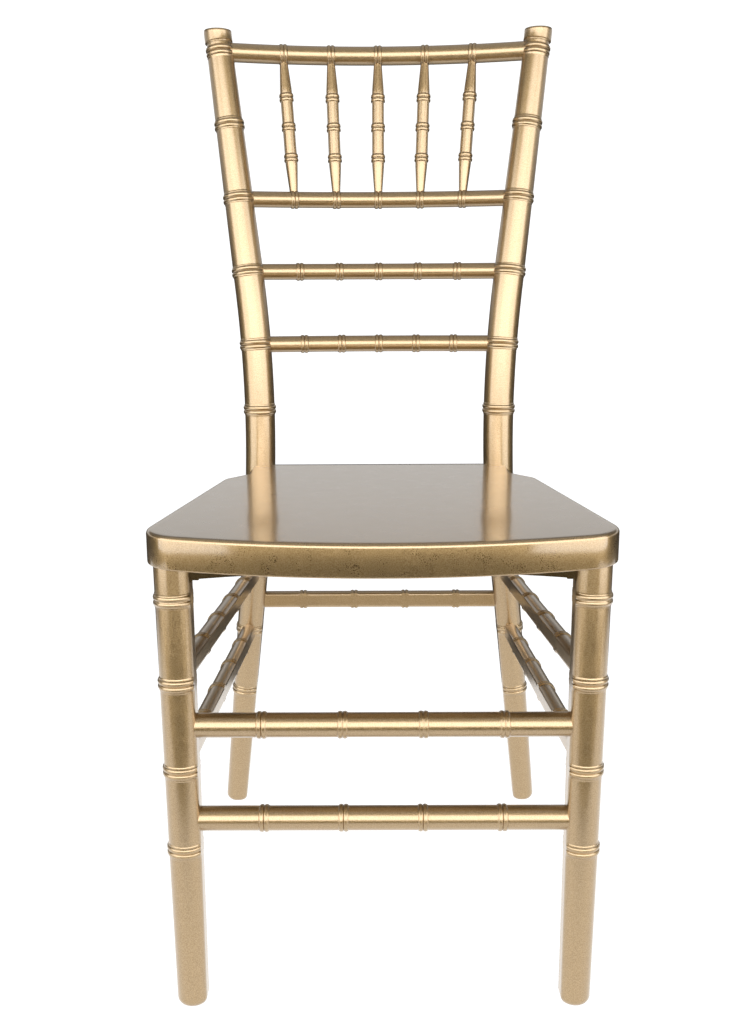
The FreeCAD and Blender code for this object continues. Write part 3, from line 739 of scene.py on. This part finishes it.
class CHAIR_OT_back_posts(ChairPiece, bpy.types.Operator):
    """Make the two bent back posts with their rings, flats and turned caps"""

    bl_idname = "chair.back_posts"
    bl_label = "Back posts"

    def execute(self, context):
        chosen = settings()
        foot = rounded_foot(POST_FOOT_RADIUS)
        taper = foot + [(POST.start.z, POST_MIDDLE_RADIUS), (POST.end.z, POST_MIDDLE_RADIUS)]
        cap = cap_table()
        taper += cap
        reach = 1000 * (chosen.leg_bead_width + chosen.leg_shoulder_width) + LEG_RING_MARGIN
        heights = [height for height, _ in foot]
        heights += stations(foot[-1][0] + 1.0, cap[0][0] - 1.0, POST_RINGS, reach)
        heights += [height for height, _ in cap]
        points = [POST.point(height) for height in heights]
        radii = [profile(taper, height) for height in heights]
        rim_start, rim_radius = points[-1], radii[-1]
        for rise, loss in CAP_RIM:
            points.append(rim_start + UP * rise)
            radii.append(rim_radius - loss)
        flat_top = SEAT_HEIGHT - SEAT_SKIRT
        reaches = [radius - 1000 * chosen.leg_flat if point.z < flat_top else NO_FLAT
                   for point, radius in zip(points, radii)]
        rings = [POST.point(height) for height in POST_RINGS]
        turned_pair("post_", "back_post_", points, radii, reaches, rings,
                    min(points[-1].z, OVERALL_HEIGHT))
        return {"FINISHED"}


class CHAIR_OT_front_legs(ChairPiece, bpy.types.Operator):
    """Make the two front legs with their rings and flats"""

    bl_idname = "chair.front_legs"
    bl_label = "Front legs"

    def execute(self, context):
        chosen = settings()
        foot = rounded_foot(FRONT_FOOT_RADIUS)
        taper = foot + [(FRONT_RINGS[0], FRONT_LOW_RADIUS), (FRONT_TOP.z, FRONT_TOP_RADIUS)]
        reach = 1000 * (chosen.leg_bead_width + chosen.leg_shoulder_width) + LEG_RING_MARGIN
        heights = [height for height, _ in foot]
        heights += stations(foot[-1][0] + 1.0, FRONT_TOP.z + 3.0, FRONT_RINGS, reach)
        points = [front_leg_point(height) for height in heights]
        radii = [profile(taper, height) for height in heights]
        reaches = [radius - 1000 * chosen.leg_flat for radius in radii]
        rings = [front_leg_point(height) for height in FRONT_RINGS]
        turned_pair("leg_", "front_leg_", points, radii, reaches, rings, FRONT_TOP.z + 2.0)
        return {"FINISHED"}


class CHAIR_OT_back_rails(ChairPiece, bpy.types.Operator):
    """Make the bowed crest and the three bowed rails under it"""

    bl_idname = "chair.back_rails"
    bl_label = "Back rails"

    def execute(self, context):
        bowed_rail("crest", "crest_rail", CREST)
        bowed_rail("rail_upper", "back_rail_upper", UPPER_RAIL)
        bowed_rail("rail_middle", "back_rail_middle", MIDDLE_RAIL)
        bowed_rail("rail_lower", "back_rail_lower", LOWER_RAIL)
        return {"FINISHED"}


class CHAIR_OT_spindles(ChairPiece, bpy.types.Operator):
    """Make the slim ringed spindles between the crest and the upper rail"""

    bl_idname = "chair.spindles"
    bl_label = "Spindles"

    def execute(self, context):
        for index, name in enumerate(SPINDLES):
            low = spindle_line(UPPER_RAIL, index - 2)
            high = spindle_line(CREST, index - 2)
            along = high - low
            start = UPPER_RAIL[1] - 2.0
            end = along.length - CREST[1] + 2.0
            taper = [(UPPER_RAIL[1], SPINDLE_END_RADIUS),
                     (UPPER_RAIL[1] + SPINDLE_TAPER, SPINDLE_RADIUS),
                     (along.length - CREST[1] - SPINDLE_TAPER, SPINDLE_RADIUS),
                     (along.length - CREST[1], SPINDLE_END_RADIUS)]
            rise = along.z / along.length
            ring_places = [(height - low.z) / rise for height in SPINDLE_RINGS]
            reach = 1000 * settings().spindle_bead_width + SPINDLE_RING_MARGIN
            places = stations(start, end, sorted(ring_places), reach, coarse=4.0, fine=0.4)
            direction = along.normalized()
            points = [low + direction * place for place in places]
            radii = [profile(taper, place) for place in places]
            rings = [low + direction * place for place in ring_places]
            made = ringed_member("spindle_turned_" + name, points, radii, [NO_FLAT] * len(points),
                                 rings, "spindle")
            settle(made, "spindle_" + name)
        return {"FINISHED"}


def straight_stretcher(name, node, start, end, radius, flat, inward):
    """Straight stretcher with a ring pair at each bay line and a flat on one side."""
    along = end - start
    length = along.length
    direction = along.normalized()
    ring_places = [length * bay / STRETCHER_BAYS for bay in range(1, STRETCHER_BAYS)]
    reach = 1000 * settings().rail_bead_width + RAIL_RING_MARGIN
    places = stations(END_INSET, length - END_INSET, ring_places, reach)
    points = [start + direction * place for place in places]
    rings = [start + direction * place for place in ring_places]
    side = (inward - direction * inward.dot(direction)).normalized()
    made = ringed_member(name, points, [radius] * len(points),
                         [radius - flat * 1000] * len(points), rings, "rail", side)
    settle(made, node)


class CHAIR_OT_stretchers(ChairPiece, bpy.types.Operator):
    """Make the front, side and rear stretchers"""

    bl_idname = "chair.stretchers"
    bl_label = "Stretchers"

    def execute(self, context):
        chosen = settings()
        for name, height in FRONT_STRETCHERS.items():
            left = front_leg_point(height) + REARWARD * FRONT_STRETCHER_BACK
            straight_stretcher(name + "_turned", name, left, flip(left), FRONT_STRETCHER_RADIUS,
                               chosen.stretcher_flat, REARWARD)
        left = POST.point(REAR_STRETCHER_HEIGHT)
        straight_stretcher("rear_stretcher_turned", "rear_stretcher", left, flip(left),
                           REAR_STRETCHER_RADIUS, chosen.rear_stretcher_flat, -REARWARD)
        for name, (front_height, rear_height) in SIDE_STRETCHERS.items():
            start = front_leg_point(front_height) + ACROSS * SIDE_STRETCHER_INSET
            end = POST.point(rear_height)
            for side, path, inward in both_sides([start, end]):
                straight_stretcher(name + "_turned_" + side, name + "_" + side, path[0], path[1],
                                   SIDE_STRETCHER_RADIUS, chosen.stretcher_flat, inward)
        return {"FINISHED"}


# Seat


def rounded_path(corners, steps=14):
    """Open path through corners, each rounded by its radius. The ends stay as they are."""
    points = [Vector(corners[0][:2])]
    for before, (x, y, radius), after in zip(corners, corners[1:], corners[2:]):
        corner = Vector((x, y))
        back = (Vector(before[:2]) - corner).normalized()
        ahead = (Vector(after[:2]) - corner).normalized()
        half = back.angle(ahead) / 2
        reach = radius / math.tan(half)
        centre = corner + (back + ahead).normalized() * (radius / math.sin(half))
        first = corner + back * reach - centre
        last = corner + ahead * reach - centre
        sweep = first.angle_signed(last)
        count = max(3, int(abs(sweep) / math.radians(90) * steps) + 1)
        for step in range(count + 1):
            turned = Matrix.Rotation(-sweep * step / count, 2) @ first
            points.append(centre + turned)
    points.append(Vector(corners[-1][:2]))
    return points


def seat_loop():
    """Outline of the seat seen from above, counter-clockwise from the middle of the rear."""
    corner_x, corner_y, corner_radius = SEAT_CORNERS[0]
    rise = corner_y - SEAT_FRONT_Y
    arc = (corner_x ** 2 + rise ** 2) / (2 * rise)
    centre_y = SEAT_FRONT_Y + arc
    join = math.asin((corner_x - corner_radius) / arc) - FRONT_JOIN_SLACK
    turns = [join * step / FRONT_STEPS for step in range(FRONT_STEPS + 1)]
    front = [Vector((arc * math.sin(turn), centre_y - arc * math.cos(turn))) for turn in turns]
    tangent = Vector((math.cos(join), math.sin(join)))
    start = front[-1]
    second = SEAT_CORNERS[1]
    edge_start = Vector((second[0], second[1]))
    away = Vector((corner_x, corner_y)) - edge_start
    # Where the front arc's tangent meets the line of the side
    cross = tangent.x * away.y - tangent.y * away.x
    gap = edge_start - start
    share = (gap.x * away.y - gap.y * away.x) / cross
    meet = start + tangent * share
    corners = [(start.x, start.y, 0.0), (meet.x, meet.y, corner_radius)]
    corners += list(SEAT_CORNERS[1:]) + [(0.0, SEAT_CORNERS[-1][1], 0.0)]
    half = front[:-1] + rounded_path(corners)
    cleaned = [half[0]]
    for point in half[1:]:
        if (point - cleaned[-1]).length > SHORTEST_EDGE:
            cleaned.append(point)
    left = [Vector((-p.x, p.y)) for p in reversed(cleaned[1:-1])]
    return cleaned + left


def inset(loop, distance):
    """The loop moved inwards by a distance, along its own normals."""
    moved = []
    count = len(loop)
    for index, point in enumerate(loop):
        before, after = loop[index - 1], loop[(index + 1) % count]
        first = (point - before).normalized()
        last = (after - point).normalized()
        tangent = (first + last).normalized()
        normal = Vector((-tangent.y, tangent.x))
        lean = max(0.5, tangent.dot(last))
        moved.append(point + normal * (distance / lean))
    return moved


def add_ring(mesh, loop, height):
    return [mesh.verts.new(set_in(Vector((p.x, p.y, height)))) for p in loop]


def bridge(mesh, lower, upper):
    count = len(lower)
    for index in range(count):
        after = (index + 1) % count
        mesh.faces.new((lower[index], lower[after], upper[after], upper[index]))


def add_box(mesh, low, high):
    """Box between two corners, in millimetres from the front feet."""
    made = bmesh.ops.create_cube(mesh, size=1.0)["verts"]
    low, high = set_in(Vector(low)), set_in(Vector(high))
    middle = (low + high) / 2
    for vert in made:
        vert.co = Vector((vert.co.x * (high.x - low.x), vert.co.y * (high.y - low.y),
                          vert.co.z * (high.z - low.z))) + middle


def add_tube(mesh, x, y, outer, inner, low, high, sides=48):
    """Upright tube between two heights, with a bore right through it."""
    rings = []
    for radius, height in ((outer, low), (outer, high), (inner, high), (inner, low)):
        ring = []
        for side in range(sides):
            angle = 2 * math.pi * side / sides
            spot = Vector((x, y, height)) + Vector((math.cos(angle), math.sin(angle), 0)) * radius
            ring.append(mesh.verts.new(set_in(spot)))
        rings.append(ring)
    for index in range(4):
        bridge(mesh, rings[index], rings[(index + 1) % 4])


class CHAIR_OT_seat(ChairPiece, bpy.types.Operator):
    """Make the hard seat with its rounded rim, its hollow, ribs and sockets"""

    bl_idname = "chair.seat"
    bl_label = "Seat"

    def execute(self, context):
        chosen = settings()
        outline = seat_loop()
        top = SEAT_HEIGHT
        bottom = SEAT_HEIGHT - SEAT_SKIRT
        edge = chosen.seat_edge * 1000
        lower = chosen.seat_lower_edge * 1000
        mesh = bmesh.new()
        rings = []
        for step in range(LOWER_EDGE_STEPS + 1):
            angle = math.pi / 2 * step / LOWER_EDGE_STEPS
            rings.append((lower * (1 - math.sin(angle)), bottom + lower * (1 - math.cos(angle))))
        for step in range(TOP_EDGE_STEPS + 1):
            angle = math.pi / 2 * step / TOP_EDGE_STEPS
            rings.append((edge * (1 - math.cos(angle)), top - edge * (1 - math.sin(angle))))
        rings.append((edge + TOP_INSET, top))
        made = [add_ring(mesh, inset(outline, distance), height) for distance, height in rings]
        for below, above in zip(made, made[1:]):
            bridge(mesh, below, above)
        mesh.faces.new(made[-1])
        inner = inset(outline, SEAT_WALL)
        inner_bottom = add_ring(mesh, inner, bottom)
        inner_top = add_ring(mesh, inner, top - SEAT_PLATE)
        bridge(mesh, inner_bottom, made[0])
        bridge(mesh, inner_top, inner_bottom)
        mesh.faces.new(list(reversed(inner_top)))
        bmesh.ops.recalc_face_normals(mesh, faces=mesh.faces)
        add_seat_ribs(mesh, inner)
        data = bpy.data.meshes.new("seat_shell")
        mesh.to_mesh(data)
        mesh.free()
        data.materials.append(material("seat_paint"))
        seat = mesh_object("seat_shell", data)
        shade(seat, SEAT_CREASE)
        settle(seat, "seat")
        return {"FINISHED"}


def add_seat_ribs(mesh, inner):
    """Crossed ribs, and a socket over each front leg, in the seat's hollow."""
    underside = SEAT_HEIGHT - SEAT_PLATE
    rib_bottom = underside - RIB_DEPTH
    half = RIB_THICKNESS / 2
    sunk = underside + RIB_IN_PLATE
    xs = [p.x for p in inner]
    ys = [p.y for p in inner]

    def span_at(value, along_x):
        """Where a line across the hollow enters and leaves it."""
        hits = []
        for a, b in zip(inner, inner[1:] + inner[:1]):
            first, last = (a.y, b.y) if along_x else (a.x, b.x)
            if (first <= value) != (last <= value):
                share = (value - first) / (last - first)
                hits.append(blend(a.x, b.x, share) if along_x else blend(a.y, b.y, share))
        return min(hits) - RIB_IN_WALL, max(hits) + RIB_IN_WALL

    for x in rib_places(min(xs), max(xs)):
        low, high = span_at(x, False)
        add_box(mesh, (x - half, low, rib_bottom), (x + half, high, sunk))
    for y in rib_places(min(ys), max(ys)):
        low, high = span_at(y, True)
        add_box(mesh, (low, y - half, rib_bottom), (high, y + half, sunk))
    for sign in (-1, 1):
        add_tube(mesh, FRONT_TOP.x * sign, FRONT_TOP.y, SOCKET_RADIUS, SOCKET_BORE, FRONT_TOP.z, sunk)


def rib_places(start, end):
    count = int((end - start) / 2 // RIB_SPACING)
    middle = (start + end) / 2
    return [middle + index * RIB_SPACING for index in range(-count, count + 1)]


def shade(piece, degrees):
    """Smooth shading with crisp edges past an angle."""
    piece.data.shade_smooth()
    piece.data.set_sharp_from_angle(angle=math.radians(degrees))


class CHAIR_OT_kept_solids(ChairPiece, bpy.types.Operator):
    """Paint the seat rails with a dark copy of the gold that paints the shade under the seat, and the
    glides, which keep their construction solids
    """

    bl_idname = "chair.kept_solids"
    bl_label = "Seat rails and glides"

    def execute(self, context):
        for name in ("front_seat_rail", "rear_seat_rail", "side_seat_rail_left",
                     "side_seat_rail_right"):
            # The seat rails take the dark copy of the gold, which paints the shadow under the seat
            paint_node(name, "shaded_paint")
        for place in ("front_left", "front_right", "rear_left", "rear_right"):
            paint_node("foot_glide_" + place, "glide_plastic")
        return {"FINISHED"}


def paint_node(name, finish):
    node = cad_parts[name]
    if not node.material_slots:
        node.data.materials.append(None)
    for place in node.material_slots:
        place.material = material(finish)


# Studio

ROOM_RADIUS = 3.3
ROOM_HEIGHT = 5.0
ROOM_SIDES = 64

# Sheet that the paint mirrors: half its width, its front and rear, and its height under the floor
SHEET_HALF = 1.3
SHEET_FRONT = -0.64
SHEET_REAR = 0.6
SHEET_HEIGHT = -0.003

# Name, place, size and brightness. Each softbox faces the studio's middle at its own height.
SOFTBOXES = (("front_softbox", (0.0, -2.2, 1.27), (2.8, 1.95), 3.4),
             ("left_softbox", (-1.45, -0.95, 0.87), (1.6, 1.68), 2.6),
             ("right_softbox", (1.45, -0.95, 0.87), (1.6, 1.68), 2.8))

# Brightness of the room by direction, from -1 straight down to 1 straight up, and its warm tint
ROOM_BANDS = ((-1.0, 0.5), (-0.6, 0.4), (-0.42, 0.04), (0.0, 0.05), (0.1, 0.4), (0.15, 0.88),
              (0.24, 0.88), (0.31, 0.12), (0.55, 0.16), (0.8, 0.5), (1.0, 0.55))
ROOM_TINT = (1.0, 0.99, 0.97)


class CHAIR_OT_studio(ChairPiece, bpy.types.Operator):
    """Make the pale floor, the soft lights and the photograph's camera"""

    bl_idname = "chair.studio"
    bl_label = "Studio"

    def execute(self, context):
        add_backdrop()
        add_lights()
        add_camera()
        return {"FINISHED"}


def add_backdrop():
    """Round pale floor with a round wall, and the sheet that the paint mirrors instead."""
    turns = [math.tau * i / ROOM_SIDES for i in range(ROOM_SIDES)]
    ring = [(ROOM_RADIUS * math.cos(turn), ROOM_RADIUS * math.sin(turn)) for turn in turns]
    floor = studio_mesh("studio_floor", [(x, y, 0.0) for x, y in ring], [tuple(range(ROOM_SIDES))])
    floor.visible_glossy = False
    after = [(i + 1) % ROOM_SIDES for i in range(ROOM_SIDES)]
    sides = [(i, i + ROOM_SIDES, after[i] + ROOM_SIDES, after[i]) for i in range(ROOM_SIDES)]
    wall = studio_mesh("studio_wall", [(x, y, z) for z in (0.0, ROOM_HEIGHT) for x, y in ring],
                       sides)
    wall.visible_glossy = False
    wall.visible_shadow = False
    wall.visible_diffuse = False
    corners = ((-SHEET_HALF, SHEET_FRONT), (SHEET_HALF, SHEET_FRONT), (SHEET_HALF, SHEET_REAR),
               (-SHEET_HALF, SHEET_REAR))
    sheet = studio_mesh("studio_sheet", [(x, y, SHEET_HEIGHT) for x, y in corners],
                        [(0, 1, 2, 3)], "mirrored_paper")


def studio_mesh(name, verts, faces, finish="studio_paper"):
    mesh = bpy.data.meshes.new(name)
    mesh.from_pydata(verts, [], faces)
    mesh.materials.append(material(finish))
    return mesh_object(name, mesh)


def softbox(name, place, size, brightness):
    """Area light whose brightness stays the same when its size changes."""
    data = bpy.data.lights.new(name, "AREA")
    data.shape = "RECTANGLE"
    data.size, data.size_y = size
    data.energy = brightness * math.pi * size[0] * size[1]
    lamp = bpy.data.objects.new(name, data)
    lamp.location = place
    aim = Vector((0, 0, place[2]))
    lamp.rotation_euler = (aim - Vector(place)).to_track_quat("-Z", "Y").to_euler()
    bpy.context.scene.collection.objects.link(lamp)


def add_lights():
    """Large soft light in front and one at each side that reaches down almost to the floor."""
    for name, place, size, brightness in SOFTBOXES:
        softbox(name, place, size, brightness)
    add_room()
    bpy.context.scene.view_settings.view_transform = "Standard"


def add_room():
    """Room that the paint mirrors: grey below, a dark horizon, a bright band, a grey ceiling."""
    world = bpy.data.worlds.new("studio_room")
    world.use_nodes = True
    tree = world.node_tree
    sight = add_node(tree, "ShaderNodeTexCoord").outputs["Generated"]
    rise = Wire(tree, add_node(tree, "ShaderNodeSeparateXYZ", i0=sight).outputs["Z"])
    stops = [(rise_at * 0.5 + 0.5, tuple(level * tint for tint in ROOM_TINT) + (1.0,))
             for rise_at, level in ROOM_BANDS]
    ramp = add_node(tree, "ShaderNodeValToRGB", stops=stops, i0=rise * 0.5 + 0.5)
    tree.links.new(ramp.outputs[0], tree.nodes["Background"].inputs[0])
    bpy.context.scene.world = world


def add_camera():
    data = bpy.data.cameras.new("photograph_view")
    data.lens = CAMERA_LENS
    data.sensor_width = CAMERA_SENSOR
    camera = bpy.data.objects.new("photograph_view", data)
    bpy.context.scene.collection.objects.link(camera)
    turn = (Matrix.Rotation(math.radians(CAMERA_YAW), 4, "Z")
            @ Matrix.Rotation(math.radians(90 - CAMERA_PITCH), 4, "X")
            @ Matrix.Rotation(math.radians(CAMERA_ROLL), 4, "Z"))
    camera.matrix_world = Matrix.Translation(Vector(CAMERA_PLACE) * MM) @ turn
    bpy.context.scene.camera = camera


# Panel and registration


class CHAIR_PT_panel(bpy.types.Panel):
    """Chair settings and the operators that make its pieces"""

    bl_label = "Ringed chair"
    bl_idname = "CHAIR_PT_panel"
    bl_space_type = "VIEW_3D"
    bl_region_type = "UI"
    bl_category = "Chair"

    def draw(self, context):
        layout = self.layout
        for name in ChairSettings.__annotations__:
            layout.prop(context.scene.chair_settings, name)
        for operator in PIECES:
            layout.operator(operator.bl_idname)


PIECES = (CHAIR_OT_back_posts, CHAIR_OT_front_legs, CHAIR_OT_back_rails, CHAIR_OT_spindles,
          CHAIR_OT_stretchers, CHAIR_OT_seat, CHAIR_OT_kept_solids, CHAIR_OT_studio)
CLASSES = (ChairSettings,) + PIECES + (CHAIR_PT_panel,)


def register():
    for each in CLASSES:
        bpy.utils.register_class(each)
    bpy.types.Scene.chair_settings = PointerProperty(type=ChairSettings)


def unregister():
    del bpy.types.Scene.chair_settings
    for each in reversed(CLASSES):
        bpy.utils.unregister_class(each)


def main():
    register()
    bpy.ops.chair.back_posts()
    bpy.ops.chair.front_legs()
    bpy.ops.chair.back_rails()
    bpy.ops.chair.spindles()
    bpy.ops.chair.stretchers()
    bpy.ops.chair.seat()
    bpy.ops.chair.kept_solids()
    bpy.ops.chair.studio()


if __name__ == "__main__":
    main()
